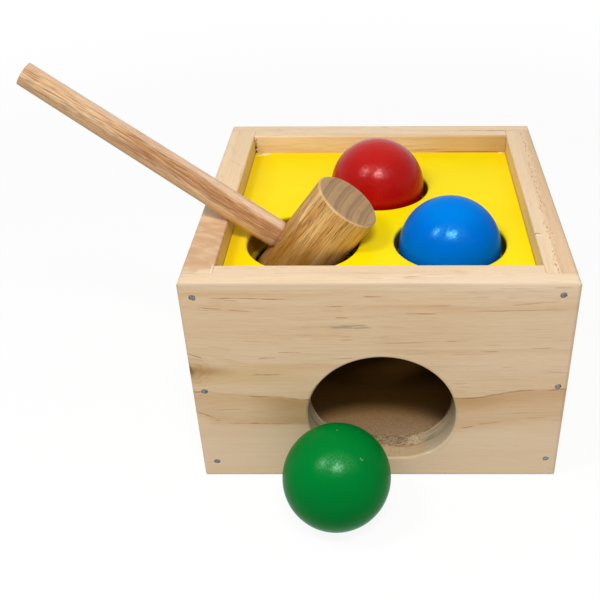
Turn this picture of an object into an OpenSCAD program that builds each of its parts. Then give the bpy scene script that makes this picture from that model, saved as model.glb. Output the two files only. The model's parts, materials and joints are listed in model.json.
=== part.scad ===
// Ball drop box: a pine box with a ball board let into its top, three balls and a hammer.
// The origin is the middle of the underside. The front, with the exit, looks along -Y.

/* [Box] */
// Outside width of the box
box_w = 175; // [170:1:230]
// Outside depth of the box
box_d = 175; // [165:1:230]
// Outside height of the box
box_h = 114; // [108:1:150]
// Thickness of the front and back panels
panel_t = 16; // [13:0.5:20]
// Thickness of the left and right panels
side_t = 14.5; // [11:0.5:17]
// Thickness of the tongue at each end of the front and back panels
tongue_t = 8.5; // [6:0.5:11]
// Radius that eases the outer edges of the box
edge_r = 2; // [1:0.25:4]
// Radius that eases the inner edge of the rim
rim_r = 1; // [0.5:0.25:2]
// Glue line between two boards
glue_gap = 0.15; // [0.05:0.05:0.4]

/* [Ball board] */
// Thickness of the ball board
board_t = 10.8; // [6:0.2:12]
// Depth of the ball board below the rim
board_recess = 10.2; // [6:0.2:16]
// Gap round the ball board
board_gap = 0.3; // [0.1:0.1:1]
// Gap round a ball in its hole
hole_clearance = 2.3; // [1.5:0.1:3]
// Radius that eases the upper edge of each hole
hole_edge_r = 1.2; // [0.6:0.2:2.4]
// Board left between the front holes and the front panel
front_web = 11.7; // [9:0.1:14]
// Board left between the back hole and the back panel
back_web = 17.1; // [12:0.1:18]
// Board left between the open hole and the left panel
left_web = 8.6; // [7:0.1:10]
// Board left between the blue ball's hole and the right panel
right_web = 11.4; // [8:0.1:13]

/* [Balls] */
// Diameter of the balls
ball_d = 50; // [40:0.5:51]
// Height of the red ball's centre over the board
red_rise = 0.8; // [-4:0.1:4]
// Height of the blue ball's centre over the board
blue_rise = -3.3; // [-4:0.1:4]
// Place of the green ball to the right of the middle
green_x = -19.7; // [-60:0.1:60]
// Gap between the green ball and the box front
green_gap = 0.8; // [0.4:0.1:60]
// Gap left between a ball and what it rests on
rest_gap = 0.3; // [0.1:0.1:0.6]

/* [Seat rings] */
// Thickness of the rubber rings
ring_t = 3; // [2:0.25:5]
// How far a rubber ring laps the board round its hole
ring_lap = 4.7; // [4.2:0.1:5]
// How much a ring with no ball in it would grip a ball on each side
ring_grip = 2; // [1:0.25:4]
// Tacks in each ring
tack_count = 4; // [3:1:6]
// Diameter of a tack's head
tack_head_d = 4; // [3:0.25:5]
// Thickness of a tack's head
tack_head_t = 0.8; // [0.5:0.1:1.2]
// Diameter of a tack's shank
tack_d = 1.2; // [0.8:0.1:1.6]
// Length of a tack's shank
tack_l = 8; // [6:0.5:8]

/* [Exit] */
// Room round a ball in the exit
exit_clearance = 10.25; // [7:0.25:13]
// Place of the exit to the right of the middle
exit_x = 1; // [-4:0.5:4]
// Height of the exit's centre over the underside
exit_z = 39; // [37:0.5:44]
// How much smaller the radius of the exit's lower corners is than the exit's
exit_foot_step = 9.25; // [7:0.25:14]
// Radius that eases the outer edge of the exit
exit_edge_r = 1; // [0.6:0.2:2]

/* [Floor] */
// Thickness of the base board
base_t = 6; // [4:0.5:8]
// Thickness of the ramp board
ramp_t = 6; // [4:0.5:8]
// Slope of the ramp in degrees
ramp_slope = 8; // [5:0.5:11]
// Gap round the base board and the ramp
floor_gap = 0.3; // [0.1:0.1:1]
// Width of the riser under the back of the ramp
riser_w = 15; // [10:1:25]
// Height of the guide blocks over the front of the ramp
guide_h = 24; // [16:1:30]
// How far the guide blocks reach back along the side panels
guide_reach = 30; // [20:1:36]
// Distance from the exit's edge to a guide block
guide_margin = 2; // [1:0.5:6]
// Edge of the square corner blocks that carry the board
block_w = 14; // [10:0.5:14.5]
// Height of the corner blocks
block_h = 32; // [20:1:40]
// Chamfer on the inner edge of the corner blocks
block_chamfer = 3; // [1:0.5:5]

/* [Nails] */
// Diameter of a nail's head
nail_head_d = 3; // [2.5:0.1:4.5]
// Thickness of a nail's head
nail_head_t = 1; // [0.6:0.1:1.5]
// Diameter of a nail's shank
nail_d = 1.8; // [1.2:0.1:2.2]
// Length of a nail
nail_l = 32; // [24:1:40]
// Height of the lowest nail over the underside
nail_low_z = 10.5; // [8:0.5:14]
// Distance from the top nail to the rim
nail_top_inset = 6.8; // [5:0.2:10]
// Diameter of the pins that hold the base board
pin_d = 1.4; // [1:0.1:1.8]
// Length of the base board pins
pin_l = 30; // [24:1:36]
// Distance between the base board pins
pin_pitch = 48; // [40:1:55]
// Gap round a nail, pin or tack in its hole
nail_gap = 0.05; // [0.02:0.01:0.1]

/* [Hammer] */
// How much narrower the hammer head is than a hole
head_play = 21.6; // [18.6:0.2:26.6]
// Length of the hammer head
head_l = 73.5; // [60:0.5:76]
// Chamfer at the ends of the hammer head
head_chamfer = 0.9; // [0.5:0.1:2]
// Diameter of the handle at the head
handle_d = 14; // [11:0.5:16]
// Diameter of the handle at its free end
handle_end_d = 11.2; // [9:0.1:13]
// Length of the handle from the head's axis to its free end
handle_l = 150.5; // [110:0.5:180]
// Radius that rounds the handle where it meets the head
handle_shoulder_r = 0.3; // [0.2:0.1:2]
// Chamfer at the free end of the handle
handle_chamfer = 0.2; // [0.2:0.1:1.5]
// Wood left behind the tenon in the head
tenon_wall = 9; // [7:0.5:14]
// Gap round the tenon
tenon_gap = 0.05; // [0.02:0.01:0.1]
// Lean of the hammer to the right in degrees
hammer_tilt = 36; // [34:0.5:38]
// Turn of the hammer about the upright in degrees
hammer_turn = -3; // [-4:0.5:0]
// Roll of the hammer about its handle in degrees
hammer_roll = 2; // [-1:0.5:3]
// Place of the hammer behind its hole's centre
hammer_y = 1.9; // [0:0.1:3]

/* [Hidden] */
$fn = 64;

pine = "burlywood";
hardwood = "peru";
fibre_board = "saddlebrown";
paint_yellow = "gold";
paint_red = "firebrick";
paint_blue = "dodgerblue";
paint_green = "seagreen";
rubber = "dimgray";
steel = "silver";

// Cuts run this far past the faces that they open
past = 1;
// An eased edge starts this far below its face
ease_step = 0.02;

front_y = -box_d / 2;
inner_w = box_w - 2 * side_t;
inner_d = box_d - 2 * panel_t;
inner_front_y = front_y + panel_t;
inner_back_y = -inner_front_y;
side_l = box_d - 2 * (tongue_t + glue_gap);

board_z = box_h - board_recess;
board_under_z = board_z - board_t;
ball_r = ball_d / 2;
hole_d = ball_d + 2 * hole_clearance;
hole_r = hole_d / 2;
row_y = inner_front_y + front_web + hole_r;
blue_hole = [inner_w / 2 - right_web - hole_r, row_y];
open_hole = [-inner_w / 2 + left_web + hole_r, row_y];
red_hole = [(open_hole[0] + blue_hole[0]) / 2, inner_back_y - back_web - hole_r];

ring_d = hole_d + 2 * ring_lap;
ring_bore_d = ball_d - 2 * ring_grip;
// A seat ring is stretched to the width of its ball at the ring's upper face
red_bore_r = sqrt(pow(ball_r + rest_gap, 2) - pow(board_t + red_rise, 2));
blue_bore_r = sqrt(pow(ball_r + rest_gap, 2) - pow(board_t + blue_rise, 2));
// Tacks sit in the middle of the band that laps the board
tack_ring_r = (ring_d + hole_d) / 4;

exit_d = ball_d + 2 * exit_clearance;
exit_r = exit_d / 2;

ramp_rise_t = ramp_t / cos(ramp_slope);
sill_z = base_t + floor_gap + ramp_rise_t;
ramp_front_y = inner_front_y + floor_gap;

// The exit's foot is a slot with round lower corners that ends at the level of the ramp
foot_inset = 0.15;
foot_half_w = exit_r - foot_inset;
foot_r = exit_r - exit_foot_step;
foot_x = foot_half_w - foot_r;
foot_z = sill_z + foot_r;
ramp_l = (inner_d - 2 * floor_gap - ramp_t * sin(ramp_slope)) / cos(ramp_slope);

// Nails stray a little sideways and in height, lowest first, as driven by hand
nail_stray_left = [[0.3, -0.7], [1.4, -2.5], [0.8, -0.3]];
nail_stray_right = [[1.5, 1.1], [2.6, 0.3], [-0.5, 0.8]];
nail_mid_z = box_h / 2;
nail_heights = [nail_low_z, nail_mid_z, box_h - nail_top_inset];

// The head leans on the right edge of its hole and the handle on the left wall's inner edge
lean_s = sin(hammer_tilt);
lean_c = cos(hammer_tilt);
head_d = hole_d - head_play;
head_r = head_d / 2;
// The handle goes into the head at almost its full width
tenon_d = handle_d - 2 * handle_shoulder_r;
tenon_l = head_d - tenon_wall;
rim_x = -inner_w / 2;
handle_rim_r = handle_d / 2;
head_reach = head_r + rest_gap - (open_hole[0] + hole_r) * lean_c + board_z * lean_s;
handle_reach = handle_rim_r + rest_gap + rim_x * lean_s + box_h * lean_c;
hammer_at = [
    lean_s * handle_reach - lean_c * head_reach,
    row_y + hammer_y,
    lean_s * head_reach + lean_c * handle_reach
];
// The third ring is as wide as the leaning head needs at the ring's lower face
ring_low_z = board_under_z - ring_t;
head_left_x = hammer_at[0] - (hammer_at[2] - ring_low_z) * tan(hammer_tilt) - head_r / lean_c;
head_reach_r = norm([open_hole[0] - head_left_x, hammer_y]);
open_bore_r = max(ring_bore_d / 2, head_reach_r + 3 * rest_gap);

// Rectangle with round corners, centred on the origin
module round_rect(w, h, r) {
    square([w - 2 * r, h], center = true);
    square([w, h - 2 * r], center = true);
    for (x = [-1, 1], y = [-1, 1]) {
        translate([x * (w / 2 - r), y * (h / 2 - r)])
            circle(r);
    }
}

// The outside of the closed box with every outer edge eased
module box_outside() {
    intersection() {
        translate([0, 0, box_h / 2])
            rotate([90, 0, 0])
                linear_extrude(box_d + 2 * past, center = true)
                    round_rect(box_w, box_h, edge_r);
        translate([0, 0, box_h / 2])
            rotate([90, 0, 90])
                linear_extrude(box_w + 2 * past, center = true)
                    round_rect(box_d, box_h, edge_r);
        translate([0, 0, -past])
            linear_extrude(box_h + 2 * past)
                round_rect(box_w, box_d, edge_r);
    }
}

// Cross-section of a wall, from its outer face at 0 to its inner face at t
module wall_section(t) {
    square([t, box_h - rim_r]);
    square([t - rim_r, box_h]);
    translate([t - rim_r, box_h - rim_r])
        circle(rim_r);
}

// A front or back panel at the front, with its inner face eased and rabbets at both ends
module end_panel() {
    inner_l = inner_w - 2 * glue_gap;
    intersection() {
        union() {
            translate([-box_w / 2, front_y, 0])
                cube([box_w, tongue_t, box_h]);
            translate([0, front_y, 0])
                rotate([90, 0, 90])
                    linear_extrude(inner_l, center = true)
                        wall_section(panel_t);
        }
        box_outside();
    }
}

// A wall at the left, between the two end panels, with its nail and pin holes
module side_panel(stray) {
    difference() {
        intersection() {
            translate([-box_w / 2, 0, 0])
                rotate([90, 0, 0])
                    linear_extrude(side_l, center = true)
                        wall_section(side_t);
            box_outside();
        }
        corner_nails(stray, nail_gap);
        mirror([0, 1, 0])
            corner_nails(stray, nail_gap);
        left_pins(nail_gap);
    }
}

// Half the section of a hole down from y = 0 with an eased upper edge
module hole_section(r, depth, ease_r) {
    translate([0, -depth])
        square([r, depth + past]);
    translate([0, -ease_step])
        square([r + ease_r, past + ease_step]);
    difference() {
        translate([0, -ease_step - ease_r])
            square([r + ease_r, ease_r]);
        translate([r + ease_r, -ease_step - ease_r])
            circle(ease_r);
    }
}

// A round hole down from z = 0 with an eased upper edge
module eased_hole(r, depth, ease_r) {
    rotate_extrude()
        hole_section(r, depth, ease_r);
}

// An upright slot down from z = 0, open at the top, with a flat foot between two round corners
module eased_slot(depth) {
    for (side = [-1, 1]) {
        translate([side * foot_x, 0, 0])
            eased_hole(foot_r, depth, exit_edge_r);
    }
    rotate([90, 0, -90])
        linear_extrude(2 * foot_x, center = true)
            hole_section(foot_r, depth, exit_edge_r);
    translate([0, exit_d, 0])
        rotate([90, 0, 0])
            linear_extrude(exit_d) {
                hole_section(foot_half_w, depth, exit_edge_r);
                mirror([1, 0])
                    hole_section(foot_half_w, depth, exit_edge_r);
            }
}

// The exit: a round hole whose lower part is narrowed to a flat foot with round corners
module exit_cut() {
    depth = panel_t + past;
    intersection() {
        translate([exit_x, front_y, exit_z])
            rotate([90, 0, 0])
                eased_hole(exit_r, depth, exit_edge_r);
        translate([exit_x, front_y, foot_z])
            rotate([90, 0, 0])
                eased_slot(depth);
    }
}

// A hole starts outside its face, and a nail or pin at the face
function outset(gap) = gap > 0 ? past : 0;

// A nail along +Y with its head at y = 0, or its hole where gap is set
module nail(gap) {
    rotate([-90, 0, 0]) {
        translate([0, 0, -outset(gap)])
            cylinder(d = nail_head_d + 2 * gap, h = nail_head_t + gap + outset(gap));
        cylinder(d = nail_d + 2 * gap, h = nail_l + gap);
    }
}

// The nails of the left front corner
module corner_nails(stray, gap) {
    for (i = [0 : len(stray) - 1]) {
        translate([
            -box_w / 2 + side_t / 2 - stray[i][0],
            front_y,
            nail_heights[i] + stray[i][1]
        ])
            nail(gap);
    }
}

// The nails of both front corners
module end_nails(gap) {
    corner_nails(nail_stray_left, gap);
    mirror([1, 0, 0])
        corner_nails(nail_stray_right, gap);
}

// The pins through the left panel into the base board, or their holes where gap is set
module left_pins(gap) {
    for (y = [-pin_pitch, 0, pin_pitch]) {
        translate([-box_w / 2 - outset(gap), y, base_t / 2])
            rotate([0, 90, 0])
                cylinder(d = pin_d + 2 * gap, h = pin_l + gap + outset(gap));
    }
}

module front_panel() {
    color(pine)
        difference() {
            end_panel();
            exit_cut();
            end_nails(nail_gap);
        }
}

module back_panel() {
    color(pine)
        mirror([0, 1, 0])
            difference() {
                end_panel();
                end_nails(nail_gap);
            }
}

module left_panel() {
    color(pine)
        side_panel(nail_stray_left);
}

module right_panel() {
    color(pine)
        mirror([1, 0, 0])
            side_panel(nail_stray_right);
}

module base_board() {
    color(fibre_board)
        difference() {
            translate([-inner_w / 2 + floor_gap, inner_front_y + floor_gap, 0])
                cube([inner_w - 2 * floor_gap, inner_d - 2 * floor_gap, base_t]);
            left_pins(nail_gap);
            mirror([1, 0, 0])
                left_pins(nail_gap);
        }
}

module base_pins() {
    color(steel) {
        left_pins(0);
        mirror([1, 0, 0])
            left_pins(0);
    }
}

// Moves a shape from the front upper edge of the ramp to its place on the slope
module on_ramp() {
    translate([0, ramp_front_y, sill_z])
        rotate([ramp_slope, 0, 0])
            children();
}

// Everything from the ramp's upper face, less a shift, down to the underside
module under_ramp(shift) {
    on_ramp()
        translate([-box_w / 2, -box_d / 2, -box_h + shift])
            cube([box_w, 2 * box_d, box_h]);
}

module ramp_board() {
    color(fibre_board)
        on_ramp()
            translate([-inner_w / 2 + floor_gap, 0, -ramp_t])
                cube([inner_w - 2 * floor_gap, ramp_l, ramp_t]);
}

module ramp_riser() {
    color(pine)
        intersection() {
            translate([-inner_w / 2 + floor_gap, inner_back_y - floor_gap - riser_w, base_t])
                cube([inner_w - 2 * floor_gap, riser_w, board_under_z - base_t]);
            under_ramp(-ramp_t - glue_gap);
        }
}

// The three-cornered block at the left of the exit
module guide_block(exit_side) {
    near_x = exit_side - exit_d / 2 - guide_margin;
    far_x = -inner_w / 2 + floor_gap;
    difference() {
        linear_extrude(sill_z + guide_h)
            polygon([
                [near_x, ramp_front_y],
                [far_x, ramp_front_y],
                [far_x, ramp_front_y + guide_reach]
            ]);
        under_ramp(glue_gap);
    }
}

module guide_block_left() {
    color(pine)
        guide_block(exit_x);
}

module guide_block_right() {
    color(pine)
        mirror([1, 0, 0])
            guide_block(-exit_x);
}

// A block in the front left corner, under the ball board
module corner_block() {
    cut = block_w - block_chamfer;
    translate([-inner_w / 2 + glue_gap, inner_front_y + glue_gap, board_under_z - glue_gap - block_h])
        linear_extrude(block_h)
            polygon([[0, 0], [block_w, 0], [block_w, cut], [cut, block_w], [0, block_w]]);
}

module corner_block_front_left() {
    color(pine)
        corner_block();
}

module corner_block_front_right() {
    color(pine)
        mirror([1, 0, 0])
            corner_block();
}

module corner_block_back_left() {
    color(pine)
        mirror([0, 1, 0])
            corner_block();
}

module corner_block_back_right() {
    color(pine)
        rotate([0, 0, 180])
            corner_block();
}

module top_board() {
    color(paint_yellow)
        difference() {
            translate([-inner_w / 2 + board_gap, inner_front_y + board_gap, board_under_z])
                cube([inner_w - 2 * board_gap, inner_d - 2 * board_gap, board_t]);
            for (hole = [red_hole, blue_hole, open_hole]) {
                translate([hole[0], hole[1], board_z])
                    eased_hole(hole_r, board_t + past, hole_edge_r);
            }
            tacks(nail_gap);
        }
}

// A rubber ring under one hole
module seat_ring(hole, bore_r) {
    color(rubber)
        difference() {
            translate([hole[0], hole[1], board_under_z - ring_t])
                cylinder(d = ring_d, h = ring_t);
            translate([hole[0], hole[1], board_under_z - ring_t - past])
                cylinder(r = bore_r, h = ring_t + 2 * past);
            tacks(nail_gap);
        }
}

module seat_ring_red() {
    seat_ring(red_hole, red_bore_r);
}

module seat_ring_blue() {
    seat_ring(blue_hole, blue_bore_r);
}

module seat_ring_open() {
    seat_ring(open_hole, open_bore_r);
}

// The tacks of all three rings, or their holes where gap is set
module tacks(gap) {
    for (hole = [red_hole, blue_hole, open_hole], i = [0 : tack_count - 1]) {
        translate([hole[0], hole[1], board_under_z - ring_t])
            rotate([0, 0, i * 360 / tack_count])
                translate([tack_ring_r, 0, -tack_head_t]) {
                    cylinder(d = tack_head_d, h = tack_head_t);
                    cylinder(d = tack_d + 2 * gap, h = tack_head_t + tack_l + gap);
                }
    }
}

module ring_tacks() {
    color(steel)
        tacks(0);
}

module front_nails() {
    color(steel)
        end_nails(0);
}

module back_nails() {
    color(steel)
        mirror([0, 1, 0])
            end_nails(0);
}

module ball_red() {
    color(paint_red)
        translate([red_hole[0], red_hole[1], board_z + red_rise])
            sphere(ball_r);
}

module ball_blue() {
    color(paint_blue)
        translate([blue_hole[0], blue_hole[1], board_z + blue_rise])
            sphere(ball_r);
}

module ball_green() {
    color(paint_green)
        translate([green_x, front_y - green_gap - ball_r, ball_r])
            sphere(ball_r);
}

// Sets the hammer down: its head stands along Z and its handle along -X before it leans
module hammer_place() {
    translate(hammer_at)
        rotate([0, 0, hammer_turn])
            rotate([0, hammer_tilt, 0])
                rotate([hammer_roll, 0, 0])
                    children();
}

module hammer_head() {
    half = head_l / 2;
    color(hardwood)
        hammer_place()
            difference() {
                rotate_extrude()
                    polygon([
                        [0, -half],
                        [head_r - head_chamfer, -half],
                        [head_r, -half + head_chamfer],
                        [head_r, half - head_chamfer],
                        [head_r - head_chamfer, half],
                        [0, half]
                    ]);
                rotate([0, -90, 0])
                    translate([0, 0, head_r - tenon_l - tenon_gap])
                        cylinder(d = tenon_d + 2 * tenon_gap, h = tenon_l + tenon_gap + past);
            }
}

module hammer_handle() {
    start = head_r + glue_gap;
    butt_r = handle_d / 2;
    end_r = handle_end_d / 2;
    color(hardwood)
        hammer_place()
            rotate([0, -90, 0])
                rotate_extrude() {
                    translate([0, head_r - tenon_l])
                        square([tenon_d / 2, tenon_l + glue_gap + handle_shoulder_r]);
                    translate([0, start])
                        square([butt_r - handle_shoulder_r, handle_shoulder_r]);
                    translate([butt_r - handle_shoulder_r, start + handle_shoulder_r])
                        intersection() {
                            circle(handle_shoulder_r);
                            translate([0, -handle_shoulder_r])
                                square(handle_shoulder_r);
                        }
                    polygon([
                        [0, start + handle_shoulder_r],
                        [butt_r, start + handle_shoulder_r],
                        [end_r, handle_l - handle_chamfer],
                        [end_r - handle_chamfer, handle_l],
                        [0, handle_l]
                    ]);
                }
}

front_panel();
back_panel();
left_panel();
right_panel();
base_board();
base_pins();
ramp_board();
ramp_riser();
guide_block_left();
guide_block_right();
corner_block_front_left();
corner_block_front_right();
corner_block_back_left();
corner_block_back_right();
top_board();
seat_ring_red();
seat_ring_blue();
seat_ring_open();
ring_tacks();
front_nails();
back_nails();
ball_red();
ball_blue();
ball_green();
hammer_head();
hammer_handle();
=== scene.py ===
import json
import math
import random

import bmesh
import bpy
from mathutils import Matrix, Vector, noise


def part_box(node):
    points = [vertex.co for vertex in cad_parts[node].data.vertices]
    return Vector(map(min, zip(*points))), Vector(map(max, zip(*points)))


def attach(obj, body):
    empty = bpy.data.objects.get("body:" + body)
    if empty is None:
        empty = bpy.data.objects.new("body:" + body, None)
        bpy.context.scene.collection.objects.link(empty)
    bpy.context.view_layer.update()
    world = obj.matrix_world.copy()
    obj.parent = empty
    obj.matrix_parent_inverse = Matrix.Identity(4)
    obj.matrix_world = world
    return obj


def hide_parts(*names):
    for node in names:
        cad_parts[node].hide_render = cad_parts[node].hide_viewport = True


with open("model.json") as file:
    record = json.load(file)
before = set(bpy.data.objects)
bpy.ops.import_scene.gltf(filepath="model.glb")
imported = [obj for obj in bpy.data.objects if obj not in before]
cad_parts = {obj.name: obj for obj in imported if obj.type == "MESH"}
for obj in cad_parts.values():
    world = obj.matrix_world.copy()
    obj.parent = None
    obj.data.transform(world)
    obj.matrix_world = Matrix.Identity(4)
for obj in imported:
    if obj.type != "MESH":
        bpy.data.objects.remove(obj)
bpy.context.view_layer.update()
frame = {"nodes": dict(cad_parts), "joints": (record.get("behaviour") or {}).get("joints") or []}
nodes = frame["nodes"]

# Metres in a millimetre: meshes are in metres, and sizes below in millimetres unless they say otherwise
MM = 0.001

# The camera, in degrees and metres, its image in pixels and its sensor in millimetres
IMAGE = 600
FOCAL_PX = 873.6
CENTRE_PX = (380.1, 309.0)
EYE = (0.0023, -0.4026, 0.3155)
PITCH = 34.23
YAW = 0.34
ROLL = -0.26
SENSOR = 36.0
CLIP_START = 0.01

# The exit in the front panel: a circle whose foot is flat between two round corners
EXIT_X = 1.0
EXIT_Z = 39.0
EXIT_R = 35.25
SILL_Z = 12.36
FOOT_R = 26.0
FOOT_HALF = 9.1

# Inner faces of the box and the faces that show, from the frame
FRONT_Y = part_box("front_panel")[0].y / MM
INNER_FRONT_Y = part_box("front_panel")[1].y / MM
INNER_BACK_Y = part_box("back_panel")[0].y / MM
INNER_LEFT_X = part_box("left_panel")[1].x / MM
INNER_RIGHT_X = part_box("right_panel")[0].x / MM
LEFT_END_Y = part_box("left_panel")[0].y / MM
RIM_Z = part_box("front_panel")[1].z / MM
BOARD_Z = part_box("top_board")[1].z / MM
RING_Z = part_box("seat_ring_open")[1].z / MM


def srgb(red, green, blue):
    """A colour written from 0 to 255, as linear values."""
    def linear(c):
        c /= 255
        return c / 12.92 if c <= 0.04045 else ((c + 0.055) / 1.055) ** 2.4
    return (linear(red), linear(green), linear(blue), 1.0)


# Pine, from sapwood to the late wood and its marks, with painted light and shade for its edges and walls
PINE_PALE = srgb(243, 218, 184)
PINE_MID = srgb(236, 207, 170)
PINE_DEEP = srgb(212, 170, 124)
PINE_BAND = srgb(208, 164, 112)
PINE_GOLD = srgb(222, 188, 134)
PINE_PINK = srgb(203, 164, 125)
PINE_LINE = srgb(158, 106, 60)
PINE_STREAK = srgb(176, 112, 64)
PINE_STAIN = srgb(146, 136, 118)
PINE_BROWN = srgb(200, 159, 88)
PINE_UMBER = srgb(150, 114, 52)
PINE_PAINTED_BOUNCE_OLIVE = srgb(221, 194, 102)
PINE_PAINTED_BOUNCE_LIT = srgb(232, 204, 147)
PINE_RIM = srgb(218, 195, 166)
PINE_EDGE_SHADE = srgb(198, 174, 145)
PINE_FOOT = srgb(196, 164, 122)
PINE_WARM = srgb(230, 190, 142)
PINE_EVEN = srgb(237, 208, 167)
PINE_MOTTLE = srgb(196, 150, 112)
PINE_SAWN = srgb(188, 170, 138)
PINE_SAWN_DARK = srgb(134, 114, 86)
PINE_TORN = srgb(244, 224, 190)
PINE_SHADE = srgb(146, 118, 88)
PINE_PAINTED_GROOVE_LIGHT = srgb(252, 236, 210)
KNOT = srgb(132, 88, 50)
KNOT_SOFT = srgb(184, 140, 92)
GAP = srgb(40, 28, 20)


# Material nodes

# How far each seed shifts a noise, the colour sockets of a Mix node, and how far roughness follows relief
NOISE_SHIFT = (7.31, 3.77, 5.13)
MIX_A, MIX_B, MIX_RESULT = 6, 7, 2
ROUGH_SPREAD = 0.12


class Value:
    """A number that a material works out at each point of a surface."""

    def __init__(self, owner, socket):
        self.owner = owner
        self.socket = socket

    def do(self, operation, *others):
        return self.owner.math(operation, self, *others)

    def __add__(self, other):
        return self.do("ADD", other)

    def __sub__(self, other):
        return self.do("SUBTRACT", other)

    def __rsub__(self, other):
        return self.owner.math("SUBTRACT", other, self)

    def __mul__(self, other):
        return self.do("MULTIPLY", other)

    def __truediv__(self, other):
        return self.do("DIVIDE", other)

    __radd__ = __add__
    __rmul__ = __mul__

    def step(self, kind, low, high):
        node = self.owner.add("MapRange", self, low, high, 0.0, 1.0, interpolation_type=kind)
        return Value(self.owner, node.outputs[0])

    def ramp(self, low, high):
        """0 below low and 1 above high, straight between."""
        return self.step("LINEAR", low, high)

    def rise(self, low, high):
        """0 below low and 1 above high, smooth between."""
        return self.step("SMOOTHSTEP", low, high)

    def fall(self, low, high):
        """1 below low and 0 above high, smooth between."""
        return 1.0 - self.rise(low, high)

    def near(self, target, inside, outside):
        """1 within inside of target and 0 beyond outside."""
        return (self - target).do("ABSOLUTE").fall(inside, outside)


class Nodes:
    """The nodes of a material or of the world."""

    def __init__(self, tree):
        self.tree = tree

    def add(self, kind, *values, **settings):
        """A new node with these settings, and with values for its first inputs."""
        node = self.tree.nodes.new("ShaderNode" + kind)
        for key, value in settings.items():
            setattr(node, key, value)
        for socket, value in zip(node.inputs, values):
            self.feed(socket, value)
        return node

    def feed(self, socket, value):
        if isinstance(value, Value):
            value = value.socket
        if isinstance(value, bpy.types.NodeSocket):
            self.tree.links.new(value, socket)
        else:
            socket.default_value = value

    def math(self, operation, *values):
        return Value(self, self.add("Math", *values, operation=operation).outputs[0])


class Shader(Nodes):
    """A material that starts from one colour. Its places are in millimetres and move with the piece."""

    def __init__(self, name, colour=None, gloss=None, surface="BsdfPrincipled"):
        self.material = bpy.data.materials.new(name)
        self.material.use_nodes = True
        super().__init__(self.material.node_tree)
        self.tree.nodes.clear()
        self.colour = colour
        self.surface = self.add(surface)
        self.add("OutputMaterial", self.surface.outputs[0])
        if gloss is not None:
            self.set(Specular_IOR_Level=gloss)
        metres = self.add("TexCoord").outputs["Object"]
        scale = self.add("VectorMath", metres, operation="SCALE")
        scale.inputs["Scale"].default_value = 1 / MM
        self.place = scale.outputs[0]

    def set(self, **sockets):
        """Feeds the surface's inputs of these names."""
        for socket, value in sockets.items():
            self.feed(self.surface.inputs[socket.replace("_", " ")], value)

    def xyz(self):
        return [Value(self, socket) for socket in self.add("SeparateXYZ", self.place).outputs]

    def along(self, origin, axis):
        """How far a point lies from origin along axis."""
        offset = self.add("VectorMath", self.place, origin, operation="SUBTRACT")
        dot = self.add("VectorMath", offset.outputs[0], axis, operation="DOT_PRODUCT")
        return Value(self, dot.outputs["Value"])

    def vector(self, *values):
        return self.add("CombineXYZ", *values).outputs[0]

    def noise(self, lengths, seed, detail=1.0, place=None):
        """Noise from 0 to 1 whose patches have about these lengths, at the point itself or at place."""
        size = [1 / length for length in lengths]
        shift = [seed * step for step in NOISE_SHIFT]
        spread = self.add("VectorMath", place or self.place, size, shift, operation="MULTIPLY_ADD")
        node = self.add("TexNoise", spread.outputs[0])
        node.inputs["Scale"].default_value = 1.0
        node.inputs["Detail"].default_value = detail
        return Value(self, node.outputs[0])

    def cloud(self, length, seed, detail):
        """Noise with patches of the same length all ways."""
        return self.noise((length, length, length), seed, detail)

    def distance(self, point):
        node = self.add("VectorMath", self.place, point, operation="DISTANCE")
        return Value(self, node.outputs["Value"])

    def tilt(self):
        """0 where the surface faces the viewer and 1 at its outline, for gloss alone."""
        return Value(self, self.add("LayerWeight").outputs["Facing"])

    def mix(self, factor, a, b):
        node = self.add("Mix", factor, data_type="RGBA")
        self.feed(node.inputs[MIX_A], a)
        self.feed(node.inputs[MIX_B], b)
        return node.outputs[MIX_RESULT]

    def tint(self, factor, colour):
        """Turns the colour so far into another by factor."""
        self.colour = self.mix(factor, self.colour, colour)

    def finish(self, roughness, height, depth):
        """Sets the colour so far, the roughness and a relief of this depth."""
        bump = self.add("Bump")
        bump.inputs["Distance"].default_value = depth * MM
        self.feed(bump.inputs["Height"], height)
        self.set(Base_Color=self.colour, Roughness=roughness, Normal=bump.outputs[0])
        return self.material


def hypot(a, b):
    return (a * a + b * b).do("SQRT")


def polyline(u, points):
    """The height at u of a line through points of (u, v)."""
    height = points[0][1]
    for (u0, v0), (u1, v1) in zip(points, points[1:]):
        height = u.ramp(u0, u1) * (v1 - v0) + height
    return height


# Pine

PINE_RING = 5.5
PINE_RELIEF = 0.07
PINE_GLOSS = 0.25
PINE_ROUGH = 0.56
KNOT_STRETCH = 0.6
KNOT_HOLD = 0.8


def round_knot(u, v, knot, reach):
    """Bends the grain round a knot at (u, v)."""
    away = hypot((u - knot[0]) * KNOT_STRETCH, v - knot[1])
    hold = (away * away * (-1.0 / reach ** 2)).do("EXPONENT")
    return v - (v - knot[1]) * hold * KNOT_HOLD


def streaks(s, u, v, marks):
    """Thin broken marks along the grain, each (u0, v0, u1, v1, half width, strength)."""
    place = s.vector(u, v, 0.0)
    waver = (s.noise((11, 3, 1), 40, 1, place) - 0.5) * 0.9
    broken = s.noise((5, 1.2, 1), 41, 1, place).rise(0.3, 0.6) * 0.7 + 0.45
    total = 0.0
    for u0, v0, u1, v1, half, strength in marks:
        run = (u - u0) / (u1 - u0)
        off = (v + waver - v0 - run * (v1 - v0)).do("ABSOLUTE")
        ends = run.rise(0.0, 0.25) * run.fall(0.75, 1.0)
        total = (off.fall(0.1 * half, 1.3 * half) * ends * strength).do("MAXIMUM", total)
    return total * broken


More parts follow.
